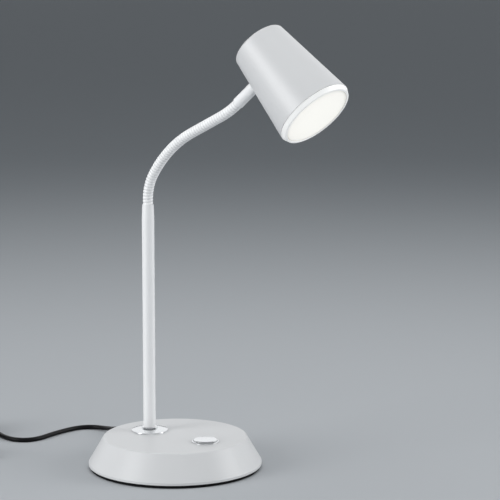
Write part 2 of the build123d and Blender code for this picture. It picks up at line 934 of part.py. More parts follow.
# Strain relief: flange inside the shell, tapered sleeve outside
with BuildPart() as cord_gland:
    with BuildSketch(exit_plane(flange_seat - gland_flange)):
        Circle(gland_flange_radius)
    extrude(amount=gland_flange)
    with BuildSketch(exit_plane(flange_seat)):
        Circle(gland_radius)
    extrude(amount=wall_radius - flange_seat)
    with BuildSketch(exit_plane(wall_radius)):
        Circle(gland_radius)
    with BuildSketch(exit_plane(tip_radius)):
        Circle(gland_tip_radius)
    loft(ruled=True)
    with BuildSketch(exit_plane(flange_seat - gland_flange)):
        Circle(lead_radius + thread_gap)
    extrude(amount=tip_radius - flange_seat + gland_flange, mode=Mode.SUBTRACT)
keep(cord_gland, "cord_gland")

with BuildPart() as lead_tail:
    with BuildSketch(exit_plane(tail_end)):
        Circle(lead_radius)
    extrude(amount=tip_radius - tail_end)
keep(lead_tail, "lead_tail")

# Clamp on the lead: a block on the plate, a bridge over it and two screws
clamp_low = clamp_radius - clamp_depth / 2
clamp_roof_z = exit_z + lead_radius + clamp_roof
clamp_screw_reach = clamp_width / 2 - clamp_screw_head - seat_gap
across = Vector(-exit_way.Y, exit_way.X, 0)
clamp_screw_spots = [clamp_spot + across * side * clamp_screw_reach for side in (-1, 1)]
clamp_turn = Location(clamp_spot, (0, 0, 1), exit_angle)
with BuildPart() as clamp_block:
    with BuildSketch(Plane.XY.offset(plate_top)):
        with Locations(clamp_turn):
            Rectangle(clamp_depth, clamp_width)
    extrude(amount=exit_z - thread_gap - plate_top)
    with BuildSketch(exit_plane(clamp_low)):
        Circle(lead_radius + thread_gap)
    extrude(amount=clamp_depth, mode=Mode.SUBTRACT)
    with BuildSketch(Plane.XY.offset(plate_top)):
        with Locations(*clamp_screw_spots):
            Circle(clamp_screw_radius + thread_gap)
    extrude(amount=exit_z - plate_top, mode=Mode.SUBTRACT)
keep(clamp_block, "clamp_block")

with BuildPart() as clamp_bridge:
    with BuildSketch(Plane.XY.offset(exit_z)):
        with Locations(clamp_turn):
            Rectangle(clamp_depth, clamp_width)
    extrude(amount=clamp_roof_z - exit_z)
    with BuildSketch(exit_plane(clamp_low)):
        Circle(lead_radius + thread_gap)
    extrude(amount=clamp_depth, mode=Mode.SUBTRACT)
    with BuildSketch(Plane.XY.offset(exit_z)):
        with Locations(*clamp_screw_spots):
            Circle(clamp_screw_radius + thread_gap)
    extrude(amount=clamp_roof_z - exit_z, mode=Mode.SUBTRACT)
keep(clamp_bridge, "clamp_bridge")

with BuildPart() as clamp_screws:
    with BuildSketch(Plane.XY.offset(plate_top)):
        with Locations(*clamp_screw_spots):
            Circle(clamp_screw_radius)
    extrude(amount=clamp_roof_z - plate_top)
    with BuildSketch(Plane.XY.offset(clamp_roof_z)):
        with Locations(*clamp_screw_spots):
            Circle(clamp_screw_head)
    extrude(amount=clamp_screw_head_height)
keep(clamp_screws, "clamp_screws")


def route_radii(points):
    """Radius of the arc at each corner of a route: as large as its two runs allow."""
    radii = []
    for before, corner, after in zip(points, points[1:], points[2:]):
        run_in = corner - before
        run_out = after - corner
        half_turn = math.radians(run_in.get_angle(run_out)) / 2
        radii.append(bend_share * min(run_in.length, run_out.length) / math.tan(half_turn))
    return radii


def report_tube(name, points, radius, volume, length):
    """Prints a tube's bends, its length and how its volume compares with its section."""
    bends = ", ".join(f"{bend:.1f}" for bend in route_radii(points))
    share = volume / (math.pi * radius**2 * length)
    print(f"{name}: length {length:.1f}, radii {bends}, volume share {share:.4f}")


# Single cores from the lead's tail to the driver and on to the switch, then the wires of post and head
core_z = exit_z
core_start = exit_way * tail_end
with BuildPart() as mains_cores:
    for side in (-1, 1):
        shift = Vector(0, 0, side * core_spacing / 2)
        core_points = [
            core_start + Vector(0, 0, core_z) + shift,
            core_start - exit_way * core_stub + Vector(0, 0, core_z) + shift,
            Vector(core_start.X + clamp_depth, driver_y - clamp_depth, core_z) + shift,
            Vector(core_entry_x - clamp_depth, driver_y, core_z) + shift,
            Vector(core_entry_x, driver_y, core_z) + shift,
        ]
        with BuildLine() as route:
            FilletPolyline(*core_points, radius=route_radii(core_points))
        with BuildSketch(Plane(core_points[0], z_dir=route.line % 0)):
            Circle(core_radius)
        sweep(path=route.wire())
keep(mains_cores, "mains_cores")

switch_wire_z = plate_top + weight_thickness + switch_wire_lift
with BuildPart() as switch_wires:
    for side in (-1, 1):
        wire_level = switch_wire_z + side * core_spacing / 2
        switch_wire_points = [
            Vector(driver_x + driver_length / 2, driver_y, wire_level),
            Vector(button_x, driver_y, wire_level),
            Vector(button_x, switch_side / 2, wire_level),
        ]
        with BuildLine() as route:
            FilletPolyline(*switch_wire_points, radius=route_radii(switch_wire_points))
        with BuildSketch(Plane(switch_wire_points[0], z_dir=(1, 0, 0))):
            Circle(core_radius)
        sweep(path=route.wire())
keep(switch_wires, "switch_wires")

lamp_wire_top = post_top + hinge_inset
lamp_wire_points = [
    Vector(post_x, driver_y - driver_width / 2, wire_z),
    Vector(post_x, 0, wire_z),
    Vector(post_x, 0, lamp_wire_top),
]
with BuildPart() as lamp_wire:
    with BuildLine() as route:
        FilletPolyline(*lamp_wire_points, radius=lamp_wire_bend)
    with BuildSketch(Plane(lamp_wire_points[0], z_dir=(0, -1, 0))):
        Circle(lamp_wire_radius)
    sweep(path=route.wire())
keep(lamp_wire, "lamp_wire")

head_wire_start = neck_plane(sleeve_seat).origin
sleeve_way = neck_plane(sleeve_seat).z_dir
head_wire_points = [
    head_wire_start,
    head_wire_start + sleeve_way * shade_radius(sleeve_from_rear) / math.cos(shade_lean),
    head_origin + head_way * sink_rear,
]
with BuildPart() as head_wire:
    with BuildLine() as route:
        FilletPolyline(*head_wire_points, radius=lamp_wire_bend)
    with BuildSketch(neck_plane(sleeve_seat)):
        Circle(lamp_wire_radius)
    sweep(path=route.wire())
keep(head_wire, "head_wire")

# Coil: piled loops that spiral in and out in layers, starting at the side farthest along Y
coil_pitch = 2 * lead_radius + coil_gap
spiral_rate = coil_pitch / (2 * math.pi)
spiral_turn = (2 * math.pi * coil_turns - math.pi * (coil_layers - 1)) / coil_layers
layer_turn = spiral_turn + math.pi


def coil_point(turned):
    """Centre of the lead in the coil, after an angle in radians from the coil's start."""
    layer = min(int(turned / layer_turn), coil_layers - 1)
    rest = turned - layer * layer_turn
    inward = 1 if layer % 2 == 0 else -1
    spiral = min(rest, spiral_turn)
    reversal = max(rest - spiral_turn, 0)
    sink = spiral + reversal - reversal**2 / math.pi
    if inward < 0:
        sink = spiral_turn - sink
    share = reversal / math.pi
    climb = layer + share**2 * (3 - 2 * share)
    radius = coil_outer - spiral_rate * sink
    angle = math.pi / 2 + turned
    return Vector(
        coil_x + radius * math.cos(angle),
        coil_y + radius * math.sin(angle),
        lead_lift + coil_pitch * climb,
    )


def coil_way(turned):
    """Direction of the lead in the coil."""
    nudge = 1e-5
    return (coil_point(turned + nudge) - coil_point(turned - nudge)).normalized()


def biarc(start, start_way, end, end_way):
    """Point where two arcs that leave and reach the ends in their directions join, and the way there."""
    across_gap = end - start
    both = start_way + end_way
    bend = 2 * (1 - start_way.dot(end_way))
    reach = -across_gap.dot(both)
    reach += math.sqrt(across_gap.dot(both) ** 2 + bend * across_gap.dot(across_gap))
    reach /= bend
    first = start + start_way * reach
    second = end - end_way * reach
    return (first + second) / 2, (second - first).normalized()


quarter_count = round(coil_turns * 4)
quarter_turns = [number * math.pi / 2 for number in range(quarter_count + 1)]
coil_points = [coil_point(turned) for turned in quarter_turns]
coil_ways = [coil_way(turned) for turned in quarter_turns]
coil_start = coil_points[0] - coil_ways[0] * 2 * lead_radius
coil_finish = coil_points[-1] + coil_ways[-1] * 2 * lead_radius
with BuildPart() as lead_coil:
    with BuildLine() as route:
        Line(coil_start, coil_points[0])
        for number in range(quarter_count):
            ends = coil_points[number], coil_points[number + 1]
            ways = coil_ways[number], coil_ways[number + 1]
            middle, middle_way = biarc(ends[0], ways[0], ends[1], ways[1])
            TangentArc(ends[0], middle, tangent=ways[0])
            TangentArc(middle, ends[1], tangent=middle_way)
        Line(coil_points[-1], coil_finish)
    with BuildSketch(Plane(coil_start, z_dir=coil_ways[0])):
        Circle(lead_radius)
    sweep(path=route.wire())
coil_length = route.wire().length
keep(lead_coil, "lead_coil")

loop_steps = 72
loop_points = [
    coil_point(number * 2 * math.pi / loop_steps) for number in range(int(coil_turns * loop_steps))
]
least_gap = min(
    (loop_points[first] - loop_points[second]).length
    for first in range(len(loop_points))
    for second in range(first + loop_steps // 2, len(loop_points))
)
print(f"coil: length {coil_length:.1f}, least gap to itself {least_gap - 2 * lead_radius:.2f}")

# Free lead from the strain relief to the coil
lead_start = exit_way * tip_radius + Vector(0, 0, exit_z)
lead_points = [lead_start, lead_start + exit_way * lead_first_run]
lead_points += [Vector(*point) for point in lead_route]
lead_points += [coil_start - coil_ways[0] * lead_last_run, coil_start]
with BuildPart() as mains_lead:
    with BuildLine() as route:
        FilletPolyline(*lead_points, radius=route_radii(lead_points))
    with BuildSketch(exit_plane(tip_radius)):
        Circle(lead_radius)
    sweep(path=route.wire())
lead_length = route.wire().length
keep(mains_lead, "mains_lead")
report_tube("mains_lead", lead_points, lead_radius, mains_lead.part.volume, lead_length)

# Short stretch from the coil to the plug
plug_z = plug_thickness / 2
plug_rear = Vector(plug_x, plug_y, plug_z)
end_points = [coil_finish, coil_finish + coil_ways[-1] * end_first_run]
end_points += [Vector(*point) for point in end_route]
end_points += [plug_rear - Vector(end_last_run, 0, 0), plug_rear]
with BuildPart() as plug_lead:
    with BuildLine() as route:
        FilletPolyline(*end_points, radius=route_radii(end_points))
    with BuildSketch(Plane(coil_finish, z_dir=coil_ways[-1])):
        Circle(lead_radius)
    sweep(path=route.wire())
end_length = route.wire().length
keep(plug_lead, "plug_lead")
report_tube("plug_lead", end_points, lead_radius, plug_lead.part.volume, end_length)
print(f"free lead in all: {lead_length + coil_length + end_length:.1f}")

# Ties round the bundle of loops
bundle_inner = coil_outer - spiral_rate * (spiral_turn + math.pi / 4) - lead_radius - slide_gap
bundle_outer = coil_outer + spiral_rate * math.pi / 4 + lead_radius + slide_gap
bundle_width = bundle_outer - bundle_inner
bundle_height = (coil_layers - 1) * coil_pitch + 2 * lead_radius + 2 * slide_gap
with BuildPart() as lead_ties:
    for angle in tie_angles:
        way = polar(1, angle)
        middle = way * (bundle_inner + bundle_outer) / 2
        spot = Vector(coil_x, coil_y, tie_thickness + bundle_height / 2) + middle
        side = Vector(-way.Y, way.X, 0)
        with BuildSketch(Plane(spot - side * tie_width / 2, x_dir=way, z_dir=side)):
            RectangleRounded(
                bundle_width + 2 * tie_thickness,
                bundle_height + 2 * tie_thickness,
                lead_radius + tie_thickness,
            )
            RectangleRounded(bundle_width, bundle_height, lead_radius, mode=Mode.SUBTRACT)
        extrude(amount=tie_width)
keep(lead_ties, "lead_ties")

# Plug: moulded body with a tapered relief, and two pins
relief_plane = Plane(plug_rear, x_dir=(0, 1, 0), z_dir=(1, 0, 0))
body_rear = relief_plane.offset(plug_relief_length)
body_front = body_rear.offset(plug_length)
with BuildPart() as plug_body:
    with BuildSketch(relief_plane):
        Circle(plug_relief_tip)
    with BuildSketch(body_rear):
        Circle(plug_relief_radius)
    loft(ruled=True)
    with BuildSketch(body_rear):
        RectangleRounded(plug_rear_width, plug_rear_thickness, plug_round)
    with BuildSketch(body_rear.offset(plug_length / 2)):
        RectangleRounded(plug_width, plug_thickness, plug_round)
    loft(ruled=True)
    with BuildSketch(body_rear.offset(plug_length / 2)):
        RectangleRounded(plug_width, plug_thickness, plug_round)
    extrude(amount=plug_length / 2)
    with BuildSketch(body_front.offset(-plug_pin_depth)):
        with GridLocations(plug_pin_spacing, 1, 2, 1):
            Circle(plug_pin_radius + thread_gap)
    extrude(amount=plug_pin_depth, mode=Mode.SUBTRACT)
keep(plug_body, "plug_body")

with BuildPart() as plug_pins:
    with BuildSketch(body_front.offset(-plug_pin_depth)):
        with GridLocations(plug_pin_spacing, 1, 2, 1):
            Circle(plug_pin_radius)
    extrude(amount=plug_pin_depth + plug_pin_length)
    tips = plug_pins.faces().sort_by(Axis.X)[-2:]
    fillet(tips.edges(), plug_pin_radius / 2)
keep(plug_pins, "plug_pins")
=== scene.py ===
# %% [markdown]
# A gooseneck table lamp, dressed over its CAD frame.
# The frame gives every solid in its place, in metres, with +Z up and the table at Z = 0.
# This lesson adds what the solids leave out:
# the wound hose, the soft lead, the moulded plug and the finishes.

# %% Load the frame
import json
import math

import bpy
from mathutils import Matrix, Vector


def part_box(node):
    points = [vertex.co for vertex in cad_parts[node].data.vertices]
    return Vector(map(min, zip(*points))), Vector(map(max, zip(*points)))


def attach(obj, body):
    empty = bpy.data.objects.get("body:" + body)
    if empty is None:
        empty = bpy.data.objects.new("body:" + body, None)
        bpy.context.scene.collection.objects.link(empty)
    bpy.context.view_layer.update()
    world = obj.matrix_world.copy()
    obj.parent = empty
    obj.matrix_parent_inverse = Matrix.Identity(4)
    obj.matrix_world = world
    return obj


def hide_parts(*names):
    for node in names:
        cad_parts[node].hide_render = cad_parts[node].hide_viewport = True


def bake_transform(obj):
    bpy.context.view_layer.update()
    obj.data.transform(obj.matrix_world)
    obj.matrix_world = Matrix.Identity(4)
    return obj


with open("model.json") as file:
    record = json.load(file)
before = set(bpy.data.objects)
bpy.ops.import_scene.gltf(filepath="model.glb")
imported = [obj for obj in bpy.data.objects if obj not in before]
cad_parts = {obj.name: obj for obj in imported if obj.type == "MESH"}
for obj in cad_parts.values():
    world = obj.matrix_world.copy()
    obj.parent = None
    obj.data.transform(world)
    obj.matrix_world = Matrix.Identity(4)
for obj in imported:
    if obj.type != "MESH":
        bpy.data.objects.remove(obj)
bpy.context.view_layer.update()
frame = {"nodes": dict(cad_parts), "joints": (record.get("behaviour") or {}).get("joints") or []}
nodes = frame["nodes"]
MM = 0.001

# %% [markdown]
# The camera comes first, because all that follows is judged through it.
# Its place was fitted to the ellipses of the base and of the shade's mouth.
# The long lens keeps the upright post nearly parallel, as a product photographer would.

# %% Camera
camera_place = Vector((1.3636, -1.5685, 0.5579))
camera_way = Vector((-0.62082, 0.76665, -0.16384))
camera_lens = 158.4
camera_sensor = 36.0
camera_reach = 20.0

camera_data = bpy.data.cameras.new("camera")
camera_data.lens = camera_lens
camera_data.sensor_width = camera_sensor
camera_data.clip_end = camera_reach
camera = bpy.data.objects.new("camera", camera_data)
camera.location = camera_place
camera.rotation_euler = camera_way.to_track_quat("-Z", "Y").to_euler()
bpy.context.scene.collection.objects.link(camera)
bpy.context.scene.camera = camera
bpy.context.scene.view_settings.view_transform = "Standard"
print("camera:", camera_lens, "mm lens at", tuple(round(c, 3) for c in camera_place))

# %% [markdown]
# The mains lead is a round rubber cord.
# It could be a swept mesh, but a NURBS curve bends as a cord does.
# Its points are in millimetres, as in the CAD, and are scaled to metres at the end.
# Its control points leave the strain relief, drop to the table and wander off to a tied coil.
# The coil's turns are more points of the same curve, in layers that spiral in and out.

# %% Lead: the route's points
lead_radius = 2.3 * MM
lead_way_out = [
    (-98.414, 35.82, 11.0),
    (-115.328, 41.976, 11.0),
    (-128.2, 50.0, 7.0),
    (-147.6, 59.5, 3.0),
    (-165.1, 57.1, 2.3),
    (-174.5, 42.0, 2.3),
    (-175.1, 11.6, 2.3),
    (-171.6, -15.6, 2.3),
    (-180.8, -30.1, 2.3),
    (-199.5, -32.5, 2.3),
    (-222.7, -22.5, 2.3),
    (-236.407, -20.521, 3.2),
    (-249.402, -20.875, 3.2),
]
lead_way_to_plug = [
    (-285.125, -56.598, 19.1),
    (-285.452, -68.594, 19.1),
    (-277.0, -88.0, 15.5),
    (-262.0, -101.0, 9.5),
    (-244.0, -106.0, 6.85),
    (-228.0, -106.0, 6.85),
]

# %% Lead: the coil's points
coil_centre = (-254.0, -52.0)
coil_outer = 31.0
coil_pitch = 5.3
coil_turns = 9.25
coil_layers = 4
coil_low = 3.2
points_per_turn = 24
spiral_rate = coil_pitch / (2 * math.pi)
spiral_turn = (2 * math.pi * coil_turns - math.pi * (coil_layers - 1)) / coil_layers
layer_turn = spiral_turn + math.pi


def coil_point(turned):
    """Centre of the lead after an angle from the coil's start, in layers that spiral in and out."""
    layer = min(int(turned / layer_turn), coil_layers - 1)
    rest = turned - layer * layer_turn
    spiral = min(rest, spiral_turn)
    reversal = max(rest - spiral_turn, 0)
    sink = spiral + reversal - reversal**2 / math.pi
    if layer % 2:
        sink = spiral_turn - sink
    share = reversal / math.pi
    radius = coil_outer - spiral_rate * sink
    angle = math.pi / 2 + turned
    height = coil_low + coil_pitch * (layer + share**2 * (3 - 2 * share))
    x = coil_centre[0] + radius * math.cos(angle)
    y = coil_centre[1] + radius * math.sin(angle)
    return x, y, height


coil_steps = round(coil_turns * points_per_turn)
coil_way = [coil_point(step * 2 * math.pi / points_per_turn) for step in range(coil_steps + 1)]
lead_points = [Vector(point) * MM for point in lead_way_out + coil_way + lead_way_to_plug]
print("lead:", len(lead_points), "points,", coil_steps, "of them in the coil")

# %% Lead: the curve
steps_around = 5
steps_between = 5
curve_order = 3
lead_curve = bpy.data.curves.new("mains_lead_cord", "CURVE")
lead_curve.dimensions = "3D"
lead_curve.bevel_depth = lead_radius
lead_curve.bevel_resolution = steps_around
lead_curve.resolution_u = steps_between
lead_curve.use_fill_caps = True
spline = lead_curve.splines.new("NURBS")
spline.points.add(len(lead_points) - 1)
for knot, point in zip(spline.points, lead_points):
    knot.co = (*point, 1.0)
spline.order_u = curve_order
spline.use_endpoint_u = True
lead = bpy.data.objects.new("mains_lead_cord", lead_curve)
bpy.context.scene.collection.objects.link(lead)
lead_length = spline.calc_length()
print("lead: curve of", round(lead_length, 3), "m")

# %% [markdown]
# Finishes share a few effects, and each effect is a node group that is built once.
# A group takes plain values and puts out colour, roughness and height that change over the surface.
# The shader itself stays in each material, so that it can be read there.

# %% Helpers for node trees
MIX_FIRST, MIX_SECOND, MIX_RESULT = 6, 7, 2
effect_outputs = ("Color", "Roughness", "Height")


def place(tree, kind, inputs=None, **settings):
    """Adds a node and sets its options. An input given a socket is linked, and any other is set."""
    made = tree.nodes.new(kind)
    for name, value in settings.items():
        setattr(made, name, value)
    for name, source in (inputs or {}).items():
        if isinstance(source, bpy.types.NodeSocket):
            tree.links.new(source, made.inputs[name])
        else:
            made.inputs[name].default_value = source
    return made


def calculate(tree, operation, first, second):
    """One step of arithmetic on two values."""
    return place(tree, "ShaderNodeMath", {0: first, 1: second}, operation=operation).outputs["Value"]


def spread(tree, source, low, high):
    """Maps a value from 0 to 1 onto a range."""
    inputs = {"Value": source, "To Min": low, "To Max": high}
    return place(tree, "ShaderNodeMapRange", inputs).outputs["Result"]


def smooth_step(tree, source, start, end):
    """Rises smoothly from 0 to 1 while a value goes from start to end."""
    inputs = {"Value": source, "From Min": start, "From Max": end}
    return place(tree, "ShaderNodeMapRange", inputs, interpolation_type="SMOOTHSTEP").outputs["Result"]


def vector_step(tree, operation, inputs, output="Value"):
    """One step of vector arithmetic."""
    return place(tree, "ShaderNodeVectorMath", inputs, operation=operation).outputs[output]


def mix_colours(tree, factor, first, second):
    """Goes from the first colour to the second as the factor goes from 0 to 1."""
    inputs = {"Factor": factor, MIX_FIRST: first, MIX_SECOND: second}
    return place(tree, "ShaderNodeMix", inputs, data_type="RGBA").outputs[MIX_RESULT]


def start_group(name, inputs, outputs):
    """Makes a group with float or colour sockets and returns it with the sockets at its two ends."""
    group = bpy.data.node_groups.new(name, "ShaderNodeTree")
    for label, value in inputs.items():
        kind = "NodeSocketColor" if isinstance(value, tuple) else "NodeSocketFloat"
        group.interface.new_socket(label, in_out="INPUT", socket_type=kind).default_value = value
    for label in outputs:
        kind = "NodeSocketColor" if label == "Color" else "NodeSocketFloat"
        group.interface.new_socket(label, in_out="OUTPUT", socket_type=kind)
    return group, place(group, "NodeGroupInput").outputs, place(group, "NodeGroupOutput").inputs


print("helpers: place, calculate, spread, smooth_step, vector_step, mix_colours, start_group")

# %% [markdown]
# Powder coat, moulded plastic and rubber all have a fine grain: tiny bumps and a slight change of tone.
# A picture of a surface could give it, but noise needs no file and has no seams.
# Two noises do it, a fine one for the bumps and a broad one for the tone and the shine.

# %% Effect: fine grain
grain_inputs = {
    "Color": (0.8, 0.8, 0.8, 1.0),
    "Shade": 0.9,
    "Fineness": 900.0,
    "Roughness": 0.4,
    "Gloss Change": 0.1,
}
grain_group, given, result = start_group("fine_grain", grain_inputs, effect_outputs)
where = place(grain_group, "ShaderNodeTexCoord").outputs["Object"]
fine_noise = {"Vector": where, "Scale": given["Fineness"], "Detail": 2.0, "Roughness": 0.5}
fine = place(grain_group, "ShaderNodeTexNoise", fine_noise).outputs["Fac"]
broad_noise = {"Vector": where, "Scale": 28.0, "Detail": 3.0}
broad = place(grain_group, "ShaderNodeTexNoise", broad_noise).outputs["Fac"]
darker = vector_step(grain_group, "SCALE", {0: given["Color"], "Scale": given["Shade"]}, "Vector")
tone = mix_colours(grain_group, broad, darker, given["Color"])
smoother = calculate(grain_group, "SUBTRACT", given["Roughness"], given["Gloss Change"])
gloss = spread(grain_group, broad, smoother, given["Roughness"])
grain_group.links.new(tone, result["Color"])
grain_group.links.new(gloss, result["Roughness"])
grain_group.links.new(fine, result["Height"])
print("effect:", grain_group.name, "with", len(grain_group.nodes), "nodes")

# %% [markdown]
# Metal shows how it was worked and handled: faint lines from rolling or polishing, and soft smudges.
# Such lines are far too fine to cut into a mesh.
# Noise that is stretched along one axis gives the lines, and a broad noise gives the smudges.

# %% Effect: worked metal
metal_inputs = {
    "Color": (0.6, 0.6, 0.6, 1.0),
    "Shade": 0.9,
    "Fineness": 400.0,
    "Low Gloss": 0.1,
    "High Gloss": 0.2,
}
metal_group, given, result = start_group("worked_metal", metal_inputs, effect_outputs)
where = place(metal_group, "ShaderNodeTexCoord").outputs["Object"]
line_mapping = {"Vector": where, "Scale": (0.04, 1.0, 1.0)}
stretched = place(metal_group, "ShaderNodeMapping", line_mapping).outputs["Vector"]
line_noise = {"Vector": stretched, "Scale": given["Fineness"], "Detail": 2.0}
lines = place(metal_group, "ShaderNodeTexNoise", line_noise).outputs["Fac"]
smudge_noise = {"Vector": where, "Scale": 60.0, "Detail": 4.0}
smudges = place(metal_group, "ShaderNodeTexNoise", smudge_noise).outputs["Fac"]
wear = calculate(metal_group, "MULTIPLY", lines, smudges)
darker = vector_step(metal_group, "SCALE", {0: given["Color"], "Scale": given["Shade"]}, "Vector")
tone = mix_colours(metal_group, smudges, given["Color"], darker)
gloss = spread(metal_group, wear, given["Low Gloss"], given["High Gloss"])
metal_group.links.new(tone, result["Color"])
metal_group.links.new(gloss, result["Roughness"])
metal_group.links.new(lines, result["Height"])
print("effect:", metal_group.name, "with", len(metal_group.nodes), "nodes")

# %% [markdown]
# Each finish is one material: an effect group feeds the shader's colour, roughness and bump.
# Numbers that are the same all over, such as metalness or coat, are set on the shader itself.

# %% Finishes: how one is made
usual_bump = 0.05 * MM
shallow_bump = 0.03 * MM
strap_bump = 0.1 * MM
coarse_bump = 0.2 * MM


def finish(name, group, values, bump=0.0, bump_reach=usual_bump, **shader_values):
    """Makes a material from an effect group, with its height as a bump and plain shader values."""
    material = bpy.data.materials.new(name)
    material.use_nodes = True
    tree = material.node_tree
    shader = tree.nodes["Principled BSDF"]
    effect = place(tree, "ShaderNodeGroup", values, node_tree=group).outputs
    tree.links.new(effect["Color"], shader.inputs["Base Color"])
    tree.links.new(effect["Roughness"], shader.inputs["Roughness"])
    if bump:
        relief = {"Strength": bump, "Distance": bump_reach, "Height": effect["Height"]}
        bumped = place(tree, "ShaderNodeBump", relief).outputs["Normal"]
        tree.links.new(bumped, shader.inputs["Normal"])
    for label, value in shader_values.items():
        shader.inputs[label.replace("_", " ")].default_value = value
    return material


def grain_finish(name, colour, shade, fineness, roughness, gloss_change, **others):
    """A finish with the fine grain: its tone varies down to a share of the colour."""
    values = {"Color": (*colour, 1.0), "Shade": shade, "Fineness": fineness}
    values |= {"Roughness": roughness, "Gloss Change": gloss_change}
    return finish(name, grain_group, values, **others)


def metal_finish(name, colour, shade, fineness, low_gloss, high_gloss, **others):
    """A finish of worked metal: its roughness varies between two ends."""
    values = {"Color": (*colour, 1.0), "Shade": shade, "Fineness": fineness}
    values |= {"Low Gloss": low_gloss, "High Gloss": high_gloss}
    return finish(name, metal_group, values, **others)


print("finishes: makers for grain and metal")

# %% [markdown]
# Painted metal: a satin white powder coat with a fine orange peel on the base and the shade.
# The post and the sleeve have a smoother coat, and its whiter colour is painted light that stands for
# the brighter light on them.
# The hose is whiter still on its ribs, a painted lightening like the tube's, and painted shade makes its
# grooves greyer.
# A pattern in space could draw that painted shade, but it would slip along the hose when that bends.
# So the mesh carries the grooves' depth as an attribute, which moves with it.
# The front ring is white plastic that lets some of the lamp's own light through.
# A weak emission stands for that, because true scattering is slow and noisy.

# %% Finishes: white coats
powder_white = grain_finish(
    "powder_white",
    (0.675, 0.68, 0.685),
    shade=0.97,
    fineness=1500.0,
    roughness=0.4,
    gloss_change=0.06,
    bump=0.25,
    bump_reach=shallow_bump,
)
# A whiter copy of the white coat: painted light on the post and the sleeve.
lit_tube_white = grain_finish(
    "lit_tube_white",
    (0.9, 0.905, 0.91),
    shade=0.98,
    fineness=1300.0,
    roughness=0.45,
    gloss_change=0.06,
    bump=0.12,
    bump_reach=shallow_bump,
)
print("finishes:", powder_white.name, lit_tube_white.name)

# %% Finish: the hose's white
groove_painted_shade = (0.68, 0.685, 0.69, 1.0)
# The near white of the ribs is painted light, a lighter copy of the white coat.
hose_white = grain_finish(
    "hose_white",
    (0.97, 0.975, 0.98),
    shade=0.97,
    fineness=1100.0,
    roughness=0.45,
    gloss_change=0.08,
    bump=0.15,
    bump_reach=shallow_bump,
)
tree = hose_white.node_tree
paint = tree.nodes["Principled BSDF"].inputs["Base Color"]
depth = place(tree, "ShaderNodeAttribute", attribute_name="groove").outputs["Fac"]
# Painted shade: the colour turns grey as the groove gets deeper.
groove_shaded_paint = mix_colours(tree, depth, paint.links[0].from_socket, groove_painted_shade)
tree.links.new(groove_shaded_paint, paint)
print("finish:", hose_white.name)

# %% Finishes: white plastics
ring_colour = (0.85, 0.85, 0.84)
ring_surface = {
    "shade": 0.98,
    "fineness": 800.0,
    "roughness": 0.34,
    "gloss_change": 0.06,
    "bump": 0.08,
    "bump_reach": shallow_bump,
}
ring_white = grain_finish("ring_white", ring_colour, **ring_surface)
ring_glow = grain_finish("ring_glow", ring_colour, **ring_surface, Emission_Strength=0.27)
tree = ring_glow.node_tree
shader = tree.nodes["Principled BSDF"]
tree.links.new(shader.inputs["Base Color"].links[0].from_socket, shader.inputs["Emission Color"])
print("finishes:", ring_white.name, ring_glow.name)

# %% [markdown]
# The diffuser is opal plastic, lit from behind.
# Small lamps behind a milky sheet would render slowly and with noise, so the disc itself emits.
# Its light is a little brighter over the chips than at the rim.
# A distance from the disc's middle, taken in object space, drives the colour of the emission.
# A high power of that distance paints a thin line of shade where the disc meets the ring.

# %% Finish: lit opal
diffuser_low, diffuser_high = (Vector(corner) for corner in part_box("diffuser"))
diffuser_middle = (diffuser_low + diffuser_high) / 2
diffuser_radius = 32.9 * MM
middle_light = (1.0, 0.985, 0.93, 1.0)
edge_light = (0.95, 0.935, 0.88, 1.0)
painted_rim_shadow = (0.3, 0.295, 0.28, 1.0)
edge_power = 3.0
rim_shadow_power = 32.0
opal_light = grain_finish(
    "opal_light",
    (0.45, 0.445, 0.43),
    shade=0.98,
    fineness=600.0,
    roughness=0.5,
    gloss_change=0.1,
    bump=0.05,
    Emission_Strength=0.67,
)
tree = opal_light.node_tree
where = place(tree, "ShaderNodeTexCoord").outputs["Object"]
from_middle = vector_step(tree, "DISTANCE", {0: where, 1: diffuser_middle})
rim_share = calculate(tree, "DIVIDE", from_middle, diffuser_radius)
edge_share = calculate(tree, "POWER", rim_share, edge_power)
glow = mix_colours(tree, edge_share, middle_light, edge_light)
# Painted shade: a thin dark line at the disc's rim, where it meets the ring.
rim_shadow_share = calculate(tree, "POWER", rim_share, rim_shadow_power)
glow = mix_colours(tree, rim_shadow_share, glow, painted_rim_shadow)
tree.links.new(glow, tree.nodes["Principled BSDF"].inputs["Emission Color"])
print("finish:", opal_light.name)

# %% [markdown]
# Bright and bare metals. Chrome is a polished plate with faint smudges.
# Steel and aluminium use the same group with duller values.
# Iron is rough from casting, so it takes the fine grain instead.

# %% Finishes: metals
bright_chrome = metal_finish(
    "bright_chrome",
    (0.84, 0.85, 0.86),
    shade=0.97,
    fineness=300.0,
    low_gloss=0.16,
    high_gloss=0.26,
    Metallic=1.0,
)
zinc_steel = metal_finish(
    "zinc_steel",
    (0.56, 0.57, 0.58),
    shade=0.8,
    fineness=900.0,
    low_gloss=0.25,
    high_gloss=0.5,
    bump=0.1,
    Metallic=1.0,
)
cast_iron = grain_finish(
    "cast_iron",
    (0.09, 0.09, 0.095),
    shade=0.6,
    fineness=500.0,
    roughness=0.75,
    gloss_change=0.2,
    bump=0.5,
    bump_reach=coarse_bump,
    Metallic=0.6,
)
bare_aluminium = metal_finish(
    "bare_aluminium",
    (0.72, 0.73, 0.74),
    shade=0.88,
    fineness=700.0,
    low_gloss=0.25,
    high_gloss=0.45,
    bump=0.1,
    Metallic=1.0,
)
print("finishes:", bright_chrome.name, zinc_steel.name, cast_iron.name, bare_aluminium.name)

# %% [markdown]
# Rubber and plastics: the lead's soft sheath, the foam under the base, the moulded plug
# and the parts inside. All of them are the fine grain with their own values.
# Rubber and foam mirror little, so their specular level is lowered on the shader.

